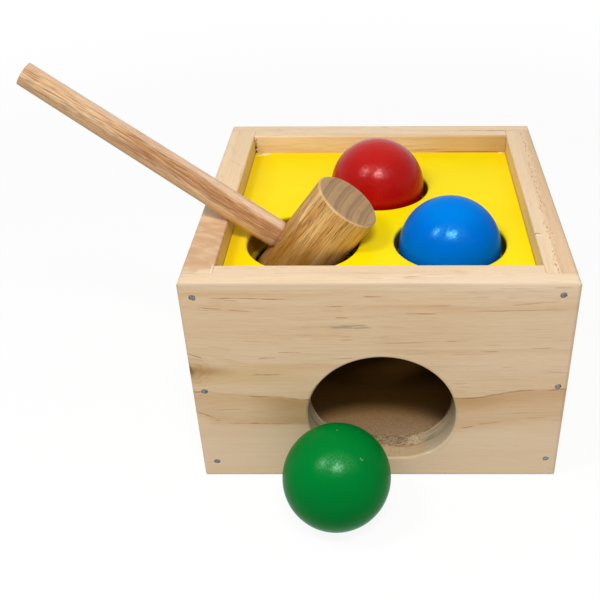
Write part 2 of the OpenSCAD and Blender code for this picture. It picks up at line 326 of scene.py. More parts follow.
def pine_grain(s, u, v, w, pith, seed):
    """Colours pine and returns its relief: u runs along the grain, v across the face and w into the board."""
    place = s.vector(u, v, w)
    v = v + (s.noise((150, 45, 45), seed, 2, place) - 0.5) * 9
    w = w + (s.noise((170, 50, 50), seed + 1, 2, place) - 0.5) * 6
    place = s.vector(u, v, w)
    radius = hypot(v - pith[0], w - pith[1])
    phase = radius / PINE_RING + s.noise((24, 1, 1), seed + 2, 1, s.vector(radius, 0.0, 0.0)) * 2
    ring = phase.do("FRACT")
    late = ring.rise(0.3, 0.93) * ring.fall(0.94, 1.0)
    shown = s.noise((110, 7, 7), seed + 3, 1, place).rise(0.36, 0.7)
    broad = s.noise((240, 15, 15), seed + 4, 1, place)
    fibre = s.noise((30, 0.55, 0.55), seed + 5, 2, place)
    hair = s.noise((7, 0.18, 0.18), seed + 6, 1, place)
    clump = s.noise((60, 6, 6), seed + 8, 1, place).rise(0.5, 0.72)
    dash = s.noise((9, 0.34, 0.34), seed + 7, 0, place).rise(0.65, 0.75) * (clump * 0.8 + 0.2)
    s.tint(broad.rise(0.3, 0.7), PINE_MID)
    s.tint(late * shown * 0.5, PINE_DEEP)
    s.tint(fibre.rise(0.4, 0.75) * 0.42, PINE_DEEP)
    s.tint(hair.rise(0.5, 0.8) * 0.2, PINE_STREAK)
    s.tint(dash * 0.55, PINE_STREAK)
    return fibre * 0.5 + hair * 0.5 - dash * 0.5


def pine_surface(name):
    return Shader(name, PINE_PALE, PINE_GLOSS)


def pine_finish(s, height):
    return s.finish(PINE_ROUGH + height * ROUGH_SPREAD, height, PINE_RELIEF)


# Marks on the front, each (x, z, x, z, half width, strength)
FRONT_STREAKS = (
    (-77, 106.9, -36, 106.1, 0.34, 0.62), (-76, 105.6, -60, 105.4, 0.3, 0.4),
    (-80, 101.9, -68, 100.9, 0.34, 0.7), (-68, 100.9, -54, 99.6, 0.3, 0.45),
    (-7.6, 107.6, 2.1, 107.6, 0.34, 0.5), (-24, 102.6, -15, 102.4, 0.32, 0.5),
    (-20, 96.5, -13, 96.3, 0.34, 0.6), (-4.2, 82.3, 22.3, 83, 0.34, 0.4),
    (28.6, 83.4, 40.5, 83.9, 0.32, 0.4), (-47, 77.2, -34, 77.4, 0.34, 0.55),
    (-56, 73.8, -46, 74.2, 0.32, 0.55), (-25, 73.8, -10, 74.4, 0.32, 0.4),
    (-61, 64.5, -44, 64.9, 0.4, 0.7), (10, 98.7, 27, 98.7, 0.36, 0.5),
    (35, 99.6, 87, 100.8, 0.3, 0.45), (18.7, 102.4, 32, 102.9, 0.32, 0.4),
    (53, 102.3, 79, 105.1, 0.34, 0.45), (47.5, 81.4, 54.5, 81.4, 0.32, 0.4),
    (67, 79.4, 79, 79.8, 0.32, 0.4), (44.6, 77.7, 55, 78, 0.32, 0.4),
    (10, 75.9, 26, 77.5, 0.32, 0.3), (37, 31.6, 46, 33.2, 0.34, 0.6),
    (46, 34.2, 58, 35.4, 0.32, 0.5), (62, 41.2, 74, 41.6, 0.34, 0.35),
    (69, 38.2, 80, 38.4, 0.34, 0.4), (-74, 35.2, -40, 34.8, 0.42, 0.65),
    (-87, 42.4, -78, 38.2, 0.42, 0.7), (-79, 37.0, -76, 36.6, 0.5, 0.8),
    (-87.4, 77.0, -80, 74.2, 0.4, 0.6), (-78, 81, -66, 78.5, 0.32, 0.4),
)
STREAK_STRENGTH = 1.15
FRONT_STAINS = (
    (-36, 91.0, -20, 91.6, 0.6, 0.16), (-24, 91.1, -10, 91.4, 0.9, 0.55),
    (-20, 91.9, -4, 92.3, 0.6, 0.6), (-13, 90.8, -3, 91.1, 0.6, 0.5), (-2, 91.8, 12, 91.0, 0.7, 0.14),
)
# The front's band of darker wood lies between two lines of (x, z)
FRONT_UPPER = (
    (-88, 54.4), (-78, 54.1), (-69, 52.9), (-62, 51.8), (-52, 51.6), (-35, 49.5), (35, 50.4), (47, 50.8),
    (58, 53.2), (66, 54.8), (88, 56.0),
)
FRONT_LOWER = (
    (-88, 42.2), (-80, 37.4), (-75, 36.1), (-63, 35.6), (-34, 33.9), (38, 31.9), (52, 34.6), (76, 38.2),
    (88, 38.8),
)
FRONT_KNOT = (-87.0, 67.0)
KNOT_REACH = 11
KNOT_RIPPLE = 2.3
# Marks on the exit's wall, as depths behind the front face
BURN_DEPTH = 8.5
SEAM_DEPTH = 8.9
TEAR_DEPTH = 7.9
BREAK_DEPTH = 12.0


def front_turn(s, depth, z):
    """The face is warmer than the rim, and greyed by painted shade where it turns into the rim."""
    s.tint(z.fall(RIM_Z - 4, RIM_Z - 2) * 0.3, PINE_WARM)
    # Painted shade on the rounded edge where the face turns into the rim
    turn = z.rise(RIM_Z - 2.2, RIM_Z - 1.1) * depth.fall(0.45, 1.9)
    s.tint(turn, PINE_EDGE_SHADE)
    rim = depth.rise(0.9, 2.0) * z.rise(RIM_Z - 0.6, RIM_Z - 0.2)
    s.tint(rim * 0.4, PINE_RIM)


def front_band(s, x, z):
    """A dark band that starts at its upper line and fades below it, pale wood under it and gold over it."""
    waver = (s.noise((13, 5, 5), 37, 2) - 0.5) * 2.2
    under = polyline(x, FRONT_UPPER) - z + waver
    over = z - polyline(x, FRONT_LOWER) + waver * 0.5
    band = under.rise(-1.2, 1.4) * over.rise(-0.8, 1.2)
    strong = x.do("ABSOLUTE").fall(40, 70) * 0.4 + x.rise(0, 30) * 0.3 + 0.1
    s.tint(band * (under.fall(1, 12) * strong + 0.2), PINE_BAND)
    # Left of the exit the band is deeper in umber: partly its own wood, partly painted shadow of the green
    # ball
    s.tint(band * x.rise(-66, -40) * x.fall(-20, 0) * 0.36, PINE_UMBER)
    heavy = s.noise((9, 6, 6), 38, 1).rise(0.42, 0.66) * 0.55 + 0.14
    s.tint(under.near(0.0, 0.1, 0.7) * heavy, PINE_LINE)
    s.tint(over.fall(-5, 0.5) * 0.55, PINE_PALE)
    s.tint(x.rise(20, 60) * z.rise(62, 72) * 0.3, PINE_PALE)
    gold = z.rise(57, 62) * z.fall(66, 72) * x.fall(-55, -20)
    s.tint(gold * 0.65, PINE_GOLD)


def front_knot(s, x, z):
    """The knot at the left edge: a small core in a soft brown field, with a wedge of brown beside it."""
    off_x = x - FRONT_KNOT[0]
    off_z = z - FRONT_KNOT[1]
    stray = s.noise((6, 2, 2), 39, 2)
    wedge = (off_z + off_x * 0.05).do("ABSOLUTE") + stray * 3.0
    s.tint(wedge.fall(1.0, 6.0) * off_x.fall(3, 26) * 0.85, KNOT_SOFT)
    field = hypot(off_x * 0.75, off_z) + stray * 4.0
    ripple = (field / KNOT_RIPPLE).do("FRACT").rise(0.3, 0.95)
    s.tint(field.fall(2.0, 13.0) * (ripple * 0.45 + 0.35), KNOT_SOFT)
    core = hypot(off_x + 0.6, (off_z + 0.4) * 0.6) + s.noise((1.6, 1.6, 3), 32, 2) * 1.8
    s.tint(core.fall(1.4, 4.0) * 0.9, KNOT)


def saw_marks(s, x, y, z, sill, fuzz):
    """Colour and relief of the exit's wall: saw marks run round it, and the grain of its foot through it."""
    depth = y - FRONT_Y
    round_exit = s.vector(s.math("ARCTAN2", x - EXIT_X, z - EXIT_Z) * EXIT_R, y, 0.0)
    mark = s.noise((16, 1.0, 1), 33, 2, round_exit)
    burn = s.noise((9, 1.8, 1), 35, 2, round_exit).rise(0.42, 0.62) * depth.near(BURN_DEPTH, 0.8, 2.6)
    through = s.noise((0.9, 14, 0.9), 30, 2)
    face = s.mix(mark.rise(0.4, 0.75) * 0.6, PINE_SAWN, PINE_SAWN_DARK)
    face = s.mix(burn * 0.55, face, PINE_SAWN_DARK)
    inner_edge = (INNER_FRONT_Y - y).fall(0.7, 1.7)
    face = s.mix(inner_edge * fuzz.rise(0.35, 0.6) * 0.6, face, PINE_TORN)
    foot = s.mix(through.rise(0.35, 0.7) * 0.3, PINE_FOOT, PINE_MID)
    foot = s.mix(through.rise(0.58, 0.7) * 0.4, foot, PINE_LINE)
    face = s.mix(sill * 0.85, face, foot)
    face = s.mix(fuzz.rise(0.55, 0.75) * 0.25, face, PINE_SAWN_DARK)
    face = s.mix(depth.fall(1, 7) * (1.0 - sill) * 0.4, face, PINE_RIM)
    seam = (depth + (mark - 0.5) * 1.6).near(SEAM_DEPTH, 0.2, 1.0) * (1.0 - sill)
    return s.mix(seam * 0.4, face, PINE_SAWN_DARK), mark + fuzz * 1.5


def torn_foot(s, x, depth, above, fuzz, face, relief):
    """The inner half of the exit's foot is torn and has painted shade, with a split in front of it."""
    torn = depth.rise(TEAR_DEPTH, TEAR_DEPTH + 1.2) * above.fall(2, 6) * x.fall(14, 24)
    crevice = s.noise((1.5, 0.7, 1.0), 36, 2).rise(0.5, 0.6)
    # Painted shade in the crevices of the torn foot
    face = s.mix(torn * crevice * 0.7, face, PINE_SAWN_DARK)
    ragged = depth + (crevice - 0.5) * 3.0 + (fuzz - 0.5) * 5.0
    broken = ragged.rise(BREAK_DEPTH, BREAK_DEPTH + 2.5) * above.fall(1, 3) * x.fall(13, 16)
    # Painted shade where the inner edge of the foot broke away
    face = s.mix(broken * 0.55, face, PINE_SHADE)
    split = depth.near(TEAR_DEPTH, 0.1, 0.5) * x.rise(6, 9) * x.fall(20, 22) * above.fall(1, 5)
    return s.mix(split * 0.6, face, PINE_LINE), relief - torn * crevice * 3.0


def sawn_wall(s, x, y, z, height):
    """The exit's sawn wall: grey and rough, with a torn inner half of its foot."""
    depth = y - FRONT_Y
    above = z - SILL_Z
    wall = hypot(x - EXIT_X, z - EXIT_Z).fall(EXIT_R + 1.2, EXIT_R + 1.8)
    fuzz = s.noise((0.7, 0.9, 0.7), 34, 3)
    face, relief = saw_marks(s, x, y, z, above.fall(1, 5), fuzz)
    face, relief = torn_foot(s, x, depth, above, fuzz, face, relief)
    # Painted shade keeps the eased front edge of the foot no paler than the face
    lip = wall * depth.rise(0.02, 0.12) * depth.fall(0.8, 1.3) * above.fall(1.5, 4.0)
    s.tint(lip * 0.6, PINE_EDGE_SHADE)
    # The front edge stays bright along the foot and is grey round the arcs
    sawn = wall * (depth + above.rise(1.5, 6.0) * 0.5).rise(0.3, 1.1)
    s.tint(sawn, face)
    return height + sawn * relief


def front_pine():
    s = pine_surface("front_pine")
    x, y, z = s.xyz()
    depth = y - FRONT_Y
    height = pine_grain(s, x, round_knot(x, z, FRONT_KNOT, KNOT_REACH), depth, (42, 46), 3)
    front_turn(s, depth, z)
    front_band(s, x, z)
    front_knot(s, x, z)
    s.tint(streaks(s, x, z, FRONT_STREAKS) * STREAK_STRENGTH, PINE_STREAK)
    s.tint(streaks(s, x, z, FRONT_STAINS), PINE_STAIN)
    return pine_finish(s, sawn_wall(s, x, y, z, height))


# Lines on the back's inner face, as (x, z), and on its rim, as (x, y)
BACK_LINES = ((-30, 106.2, 24, 107.4, 0.5, 0.5), (-8, 104.6, 40, 105.6, 0.5, 0.6))
BACK_RIM_LINES = ((60, 78.6, 75, 79.2, 0.8, 0.7), (44, 79.4, 62, 79.0, 0.5, 0.4))
BACK_WAVE = 3.2


def back_pine():
    s = pine_surface("back_pine")
    x, y, z = s.xyz()
    height = pine_grain(s, x, z, y, (60, 130), 13)
    # The inner face is deeper, with brown waves low down, and darkest at its right end
    inside = (y - INNER_BACK_Y).fall(0.3, 1.2)
    wave = (z + s.noise((26, 8, 5), 42, 2) * 7 - 3.5) / BACK_WAVE
    low = z.fall(BOARD_Z + 4, BOARD_Z + 8)
    s.tint(inside * (wave.do("FRACT").rise(0.2, 0.9) * low * 0.5 + 0.3), PINE_GOLD)
    s.tint(inside * streaks(s, x, z, BACK_LINES), PINE_LINE)
    s.tint(inside * x.rise(5, 45) * 0.6, PINE_BROWN)
    s.tint(inside * x.rise(48, 72) * 0.3, PINE_UMBER)
    # A brown streak near the right end of the rim
    rim = streaks(s, x, y, BACK_RIM_LINES)
    s.tint(rim * z.rise(RIM_Z - 2, RIM_Z - 1), PINE_LINE)
    # A rough gap shows at the left end of the inner face
    gap = (x - INNER_LEFT_X).fall(0.9, 1.7) * inside * z.fall(RIM_Z - 1.4, RIM_Z - 0.8)
    ragged = s.noise((0.6, 0.6, 1.2), 43, 2).rise(0.42, 0.52)
    s.tint(gap * ragged, GAP)
    # The joint with the ball board is dark towards the right
    joint = (z - BOARD_Z).fall(0.2, 0.9) * x.rise(28, 42) * x.fall(66, 70) * inside
    s.tint(joint * 0.8, PINE_LINE)
    return pine_finish(s, height)


# Lines on the left rim, as (y, x), and the arcs across its front end
LEFT_LINES = (
    (40, -83, 30, -74, 0.9, 0.45), (30, -74.4, 12, -73.4, 0.6, 0.4), (62, -85, 44, -80, 1.0, 0.3),
    (26, -84, -6, -81, 1.2, 0.3),
)
ARC_MIDDLE_X = -84
ARC_BEND = 0.035


def over_board(z):
    """1 on the walls between the ball board and the rim, which painted light from the yellow board tints."""
    return z.rise(BOARD_Z - 1, BOARD_Z + 1) * z.fall(RIM_Z - 2, RIM_Z - 1)


def left_fore(s, x, y, z):
    """Towards the front the left wall is pinker and mottled, with fine arcs across its rim."""
    fore = y.fall(-36, -22) * z.rise(RIM_Z - 16, RIM_Z - 5)
    s.tint(fore * 0.85, PINE_PINK)
    aside = x - ARC_MIDDLE_X
    bow = y + aside * aside * ARC_BEND + s.noise((7, 9, 7), 45, 2) * 4
    arc = s.noise((0.9, 60, 60), 46, 1, s.vector(bow, x, z)).rise(0.54, 0.7)
    shown = s.noise((9, 7, 9), 47, 1).rise(0.4, 0.6) * y.rise(-66, -54)
    s.tint(fore * arc * shown * 0.3, PINE_STREAK)
    mottle = s.noise((9, 4, 6), 48, 3, s.vector(x - y * 0.5, y + x * 0.4, z))
    s.tint(fore * mottle.rise(0.42, 0.66) * 0.5, PINE_MOTTLE)
    s.tint(fore * mottle.fall(0.34, 0.5) * 0.3, PINE_MID)


def left_joints(s, x, y, z, top):
    """Pale torn fibres beside the front joint, and painted light in the shaded edges of both joints."""
    from_end = y - LEFT_END_Y
    s.tint(from_end.fall(3, 9) * top * 0.4, PINE_RIM)
    ragged = s.noise((2.6, 1.1, 2), 49, 3)
    torn = (from_end + ragged * 3.0).fall(2.4, 3.6) * 0.5
    torn = (torn + (from_end + ragged * 4.0).fall(4.5, 6.5) * x.rise(-81, -78)).do("MINIMUM", 1.0)
    s.tint(torn * top * 0.5, PINE_TORN)
    jointed = (y - INNER_FRONT_Y).fall(-0.4, 0.2) + (y - INNER_BACK_Y).rise(-0.2, 0.4)
    # Painted light that lifts the shade in the eased edges of both joints
    groove_light = jointed * (x - INNER_LEFT_X).rise(-1.4, -0.7) * z.rise(RIM_Z - 3.0, RIM_Z - 2.0)
    s.tint(groove_light * 0.5, PINE_PAINTED_GROOVE_LIGHT)


def left_pine():
    s = pine_surface("left_pine")
    x, y, z = s.xyz()
    height = pine_grain(s, y, z, x, (40, -40), 23)
    # The rim is even, with a few fine lines
    top = z.rise(RIM_Z - 3, RIM_Z - 1)
    s.tint(top * 0.55, PINE_EVEN)
    s.tint(streaks(s, y, x, LEFT_LINES) * top, PINE_DEEP)
    left_fore(s, x, y, z)
    inside = (x - INNER_LEFT_X).rise(-1.2, -0.3) * over_board(z)
    # Painted light from the yellow board on the inner wall
    s.tint(inside * 0.7, PINE_PAINTED_BOUNCE_OLIVE)
    left_joints(s, x, y, z, top)
    return pine_finish(s, height)


# The right rim's row of pores, and a dent in its inner edge with a raised lip, as (x, y)
PORE_ROW_X = 80.3
PORE_ROW_SLANT = 0.027
DENT = (74.0, -43.2)
DENT_LIP = (74.4, -44.6)
DENT_STRETCH = 0.3
DENT_SLANT = 0.3


def dent_mark(x, y, middle, inside, outside):
    """A slanted mark across the right wall's inner edge."""
    off = y - middle[1] + (x - INNER_RIGHT_X) * DENT_SLANT
    return hypot((x - middle[0]) * DENT_STRETCH, off).fall(inside, outside)


def right_pine():
    s = pine_surface("right_pine")
    x, y, z = s.xyz()
    height = pine_grain(s, y, z, x, (70, 150), 5)
    # A row of open pores runs along the rim, and the wood outside it is pinker
    top = z.rise(RIM_Z - 2.5, RIM_Z - 1.5)
    off = x - PORE_ROW_X - y * PORE_ROW_SLANT + (s.noise((3, 6, 3), 57, 2) - 0.5) * 3.6
    off = off + (s.noise((1.0, 1.5, 1.0), 59, 1) - 0.5) * 2.4
    dots = s.noise((1.2, 2.0, 1.2), 58, 1).rise(0.47, 0.6)
    pore = off.near(0.0, 0.1, 0.5) * dots + off.near(1.9, 0.05, 0.35) * dots.rise(0.7, 1.0) * 0.4
    s.tint(off.fall(-1, 2) * top * 0.35, PINE_PALE)
    s.tint(off.rise(0.5, 3) * top * 0.4, PINE_PINK)
    s.tint(pore * top * 0.7, PINE_LINE)
    inside = (x - INNER_RIGHT_X).fall(0.3, 1.2) * over_board(z)
    # Painted light from the yellow board on the inner wall
    s.tint(inside * 0.7, PINE_PAINTED_BOUNCE_LIT)
    dent = dent_mark(x, y, DENT, 0.25, 0.8) * top
    lip = dent_mark(x, y, DENT_LIP, 0.3, 1.1) * top
    s.tint(dent * 0.7, PINE_LINE)
    s.tint(lip, PINE_TORN)
    return pine_finish(s, height - pore * top - dent * 3)


def block_pine():
    s = pine_surface("block_pine")
    x, y, z = s.xyz()
    return pine_finish(s, pine_grain(s, x, z, y, (20, 120), 53))


# Hardwood, whose tones run from pale to dark

HARD_RING = 7.0
HARD_BEND = 5
HARD_RELIEF = 0.08
HARD_GLOSS = 0.25
HARD_ROUGH = 0.46
HEAD_TONES = (srgb(238, 198, 136), srgb(222, 174, 104), srgb(174, 120, 55), srgb(88, 52, 20))
HEAD_PAINTED_SHADE = srgb(144, 94, 2)
HEAD_R = 16.5
HEAD_PITH = (-80, 16)
HANDLE_TONES = (srgb(236, 200, 158), srgb(218, 170, 121), srgb(164, 110, 64), srgb(98, 58, 32))
HANDLE_PAINTED_UPPER_LIGHT = srgb(238, 206, 176)
HANDLE_PAINTED_LOWER_LIGHT = srgb(250, 204, 150)
HANDLE_PITH = (20, 40)
# The way from the handle's lower edge to its upper one, in v and w
HANDLE_ACROSS = (0.88, 0.46)
END_TONES = (srgb(184, 147, 104), srgb(124, 94, 66))
END_RIM = srgb(214, 180, 136)
SHOULDER_AT = 18.0
SHOULDER_RED = srgb(172, 112, 74)
SHOULDER_GREY = srgb(150, 132, 118)


class Hardwood(Shader):
    """Turned wood. u runs along its grain from its centre, and v and w across it."""

    def __init__(self, name, tones, centre, axis, side, seed):
        super().__init__(name, tones[0], HARD_GLOSS)
        self.tones = tones
        self.seed = seed
        self.u = self.along(centre, axis)
        self.v = self.along(centre, side)
        self.w = self.along(centre, axis.cross(side))
        self.straight = self.vector(self.u, self.v, self.w)
        self.bent_v = self.v + (self.layer(self.straight, (60, 14, 14), 0, 2) - 0.5) * HARD_BEND
        self.bent_w = self.w + (self.layer(self.straight, (70, 16, 16), 1, 2) - 0.5) * HARD_BEND
        self.flow = self.vector(self.u, self.bent_v, self.bent_w)
        self.broad = self.layer(self.flow, (130, 4.0, 4.0), 3, 2)
        self.fibre = self.layer(self.flow, (26, 0.5, 0.5), 4, 2)
        self.vein = self.layer(self.flow, (40, 0.8, 0.8), 5, 1).rise(0.52, 0.68)
        self.pore = self.layer(self.flow, (8, 0.3, 0.3), 7, 0).rise(0.58, 0.68)
        self.speck = self.layer(self.straight, (3, 0.4, 0.4), 8, 2)

    def layer(self, place, lengths, number, detail=1.0):
        return self.noise(lengths, self.seed + number, detail, place)

    def sides(self, fibre_share, dash_range, dash_share):
        """Colours the grain along the sides."""
        _, mid, deep, dark = self.tones
        patch = self.layer(self.flow, (70, 4, 4), 6).rise(0.42, 0.62)
        dash = self.layer(self.flow, (10, 0.5, 0.5), 11, 0).rise(*dash_range)
        self.tint(self.broad.rise(0.34, 0.64), mid)
        self.tint(patch * 0.45, deep)
        self.tint(self.fibre.rise(0.4, 0.72) * fibre_share, deep)
        self.tint(self.vein * (patch * 0.5 + 0.2), deep)
        self.tint(self.pore * (patch * 0.6 + 0.25), dark)
        self.tint(dash * dash_share, dark)

    def ends(self, half_length, pith):
        """Colours greyer end grain, with growth rings, past half_length."""
        radius = hypot(self.v - pith[0], self.w - pith[1])
        radius = radius + self.layer(self.straight, (90, 11, 11), 2, 1) * 1.6
        wander = self.layer(self.vector(radius, 0.0, 0.0), (12, 1, 1), 9) * 0.8
        ring = (radius / HARD_RING + wander).do("FRACT")
        late = ring.rise(0.45, 0.93) * ring.fall(0.94, 1.0)
        thin = ring.near(0.5, 0.02, 0.07)
        growth = self.layer(self.vector(radius, self.w, 0.0), (0.8, 12, 1), 10, 2)
        face = self.mix(late * 0.55 + thin * 0.5, *END_TONES)
        grey = growth.rise(0.45, 0.75) * 0.22 + self.speck.rise(0.5, 0.75) * 0.25
        face = self.mix(grey, face, END_TONES[1])
        end = self.u.do("ABSOLUTE").rise(half_length - 0.3, half_length - 0.1)
        self.tint(end, face)

    def done(self):
        height = self.fibre * 0.5 - self.pore * 0.7 - self.vein * 0.2
        return self.finish(HARD_ROUGH + self.fibre * ROUGH_SPREAD, height, HARD_RELIEF)


def head_wood(centre, axis, side, half_length):
    """The head's wood, with a pale eased edge round its ends and painted shade towards its middle."""
    s = Hardwood("head_wood", HEAD_TONES, centre, axis, side, 111)
    s.sides(0.34, (0.65, 0.71), 0.4)
    s.ends(half_length, HEAD_PITH)
    eased = s.u.do("ABSOLUTE").near(half_length - 0.5, 0.2, 0.6)
    outer = hypot(s.bent_v, s.bent_w).rise(HEAD_R - 3, HEAD_R - 2)
    s.tint(eased * outer * 0.5, END_RIM)
    # Painted shade and painted yellow light from the hole on the lower part of the head
    s.tint(s.u.fall(1, 22) * 0.7, HEAD_PAINTED_SHADE)
    return s.done()


def handle_wood(centre, axis, side, length):
    """The handle's wood: browner along its middle, and redder and specked with grey at its foot."""
    s = Hardwood("handle_wood", HANDLE_TONES, centre, axis, side, 121)
    s.sides(0.45, (0.61, 0.68), 0.5)
    s.ends(length, HANDLE_PITH)
    edge = s.v * HANDLE_ACROSS[0] + s.w * HANDLE_ACROSS[1]
    belly = (edge + (s.broad - 0.5) * 4.0).near(0.2, 1.4, 4.0) * s.u.fall(82, 114)
    s.tint(belly * (s.fibre.rise(0.35, 0.6) * 0.45 + 0.4), HANDLE_TONES[2])
    # Painted light along the handle's upper and lower edges
    s.tint(edge.rise(2.6, 5.2) * 0.6, HANDLE_PAINTED_UPPER_LIGHT)
    s.tint(edge.fall(-5.4, -2.6) * 0.8, HANDLE_PAINTED_LOWER_LIGHT)
    low = s.u.fall(SHOULDER_AT - 2.0, SHOULDER_AT + 1.5)
    s.tint(low * 0.5, SHOULDER_RED)
    s.tint(low * s.speck.rise(0.55, 0.65) * 0.5, SHOULDER_GREY)
    return s.done()


# Paint

CHIP_TAN = srgb(186, 160, 104)
CHIP_SINK = 1.5
YELLOW = srgb(255, 231, 5)
YELLOW_PATCH_AND_SHADE = srgb(247, 214, 0)
YELLOW_SHEEN = srgb(255, 236, 40)
# Painted shade for the walls of the holes, lighter for the front left hole
HOLE_WALL_SHADE = srgb(122, 96, 20)
HOLE_WALL_LIGHTER_SHADE = srgb(156, 120, 10)
# A ball's tones are its colour, a shade of it, its top, lighter as painted light from above, and its foot,
# which is painted light from the floor on the green ball and a little darker on the others. Its gloss is for
# where it faces the viewer and for its outline, and is highest above crown, a share of its height.
BALL_PAINT = {
    "red": dict(
        tones=(srgb(174, 15, 11), srgb(158, 10, 7), srgb(190, 27, 23), srgb(166, 12, 9)),
        sheen=srgb(255, 190, 188), gloss=(0.46, 0.2), crown=0.74,
        roughness=0.25, peel=0.24, ripple=1.8, seed=131,
    ),
    "blue": dict(
        tones=(srgb(0, 108, 209), srgb(0, 99, 197), srgb(0, 130, 224), srgb(0, 102, 202)),
        sheen=srgb(135, 240, 255), gloss=(0.42, 0.012), crown=0.74,
        roughness=0.2, peel=0.07, ripple=1.3, seed=141,
    ),
    "green": dict(
        tones=(srgb(0, 124, 48), srgb(0, 116, 44), srgb(0, 124, 46), srgb(28, 198, 112)),
        sheen=srgb(205, 255, 222), gloss=(0.34, 0.035), crown=0.83,
        roughness=0.27, peel=0.13, ripple=0.8, seed=151,
    ),
}


def paint(colour, chips, tones, sheen, gloss, crown, roughness, peel, ripple, seed):
    """Paint on a ball. Ripples of this length break up its gloss, peel is the depth of its relief, and chips
    are bare spots, each (place, radius)."""
    plain, shade, top, foot = tones
    low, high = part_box("ball_" + colour)
    s = Shader(colour + "_paint", plain)
    height = s.xyz()[2].ramp(low.z / MM, high.z / MM)
    cloud = s.cloud(16, seed, 3)
    grain = s.cloud(ripple, seed + 1, 2)
    swell = s.cloud(4, seed + 2, 1)
    facing = s.tilt().fall(0.05, 0.16) * height.rise(crown, crown + 0.1) * (grain.rise(0.4, 0.6) + 0.5)
    s.set(Specular_Tint=sheen, Specular_IOR_Level=facing * (gloss[0] - gloss[1]) + gloss[1])
    s.tint(cloud.rise(0.35, 0.75) * 0.6, shade)
    # The top is lighter, as painted light from above, and the green ball's foot as painted light from the
    # floor
    s.tint(height.rise(0.8, 0.98) * 0.7, top)
    s.tint(height.fall(0.0, 0.45) * 0.7, foot)
    relief = grain * 0.3 + swell * 0.7
    ragged = s.cloud(0.5, seed + 3, 2)
    for point, radius in chips:
        bare = (s.distance(point) + (ragged - 0.5) * radius).fall(0.6 * radius, 0.9 * radius)
        s.tint(bare * 0.75, CHIP_TAN)
        relief = relief - bare * CHIP_SINK
    rough = cloud * 0.1 + (roughness - 0.05) + grain * 0.04
    return s.finish(rough, relief, peel)


def board_paint():
    """The ball board's yellow, with painted shade a little deeper by the walls and dark in the holes."""
    s = Shader("yellow_paint", YELLOW, 0.1)
    s.set(Specular_Tint=YELLOW_SHEEN)
    x, y, z = s.xyz()
    cloud = s.cloud(40, 101, 2)
    grain = s.cloud(1.4, 102, 3)
    # Random deeper patches, and painted shade near the walls
    left = (x - INNER_LEFT_X).fall(6, 18)
    right = (INNER_RIGHT_X - x).fall(2, 12)
    back = (INNER_BACK_Y - y).fall(3, 16)
    edge = left.do("MAXIMUM", right * 0.45).do("MAXIMUM", back * 0.7)
    s.tint(cloud.rise(0.3, 0.7) * 0.3 + edge * 0.7, YELLOW_PATCH_AND_SHADE)
    # Painted shade darkens the hole walls, less in the front left hole, whose wall is lit
    wall = s.mix(x.fall(-8, -4) * y.fall(-4, 0), HOLE_WALL_SHADE, HOLE_WALL_LIGHTER_SHADE)
    s.tint(z.fall(BOARD_Z - 2.4, BOARD_Z - 0.9), wall)
    return s.finish(0.32 + cloud * 0.1 + grain * 0.05, grain * 0.4 + cloud, 0.02)


# Other materials

FIBRE_TONES = (srgb(160, 127, 93), srgb(187, 154, 119))
FIBRE_CLOUD = srgb(146, 116, 86)
FIBRE_FLECK = srgb(108, 84, 60)
FIBRE_SHADE_BROWN = srgb(148, 104, 40)
FIBRE_SHADE_DEEP = srgb(96, 62, 10)
RUBBER_TONES = (srgb(164, 132, 22), srgb(142, 112, 18))
RUBBER_SHADE = srgb(40, 28, 14)
STEEL_TONES = (srgb(158, 168, 174), srgb(92, 97, 102))
STEEL_BROWN = srgb(88, 76, 66)
GLUE_TONES = (srgb(246, 238, 214), srgb(236, 214, 150))
SPLINTER_TONES = (srgb(192, 167, 130), srgb(146, 119, 86))
FLAKE_TONES = (srgb(200, 180, 146), srgb(174, 150, 114))


def fibre_board():
    """Specked brown board, with painted shade, browner and darker away from the exit."""
    s = Shader("fibre_board", FIBRE_TONES[0], 0.2)
    y = s.xyz()[1]
    cloud = s.cloud(22, 61, 3)
    speck = s.cloud(0.8, 62, 3)
    fleck = s.noise((1.8, 0.8, 0.8), 63, 1).rise(0.63, 0.73)
    s.tint(speck.rise(0.25, 0.75), FIBRE_TONES[1])
    s.tint(cloud.rise(0.4, 0.7) * 0.35, FIBRE_CLOUD)
    s.tint(fleck * 0.45, FIBRE_FLECK)
    # Painted shade inside the box, browner and darker away from the exit
    s.tint(y.rise(-72, -44) * 0.94, FIBRE_SHADE_BROWN)
    s.tint(y.rise(-43, -29) * 0.9, FIBRE_SHADE_DEEP)
    return s.finish(0.75 + speck * 0.15, speck, 0.06)


def rubber():
    """Tan rubber, darker lower down with painted shade."""
    s = Shader("ring_rubber", RUBBER_TONES[0], 0.06)
    cloud = s.cloud(4, 71, 3)
    s.tint(cloud.rise(0.3, 0.7), RUBBER_TONES[1])
    # Painted shade on the lower part of the ring
    s.tint(s.xyz()[2].fall(RING_Z - 1.7, RING_Z - 1.0), RUBBER_SHADE)
    return s.finish(0.65 + cloud * 0.25, cloud, 0.1)


def steel():
    """Dull steel with brown patches, which are less metallic."""
    s = Shader("nail_steel", STEEL_TONES[0], 0.5)
    cloud = s.cloud(1.3, 81, 3)
    scratch = s.noise((0.9, 0.25, 0.25), 82, 2)
    s.tint(cloud.rise(0.3, 0.7), STEEL_TONES[1])
    s.tint(cloud.rise(0.62, 0.76) * 0.5, STEEL_BROWN)
    s.set(Metallic=cloud.fall(0.4, 0.7) * 0.6)
    return s.finish(0.45 + scratch * 0.25, scratch + cloud, 0.08)


def dried_glue():
    s = Shader("dried_glue", GLUE_TONES[0], 0.45)
    cloud = s.cloud(1.5, 91, 2)
    s.tint(cloud.rise(0.35, 0.7), GLUE_TONES[1])
    return s.finish(0.4 + cloud * 0.2, cloud, 0.05)


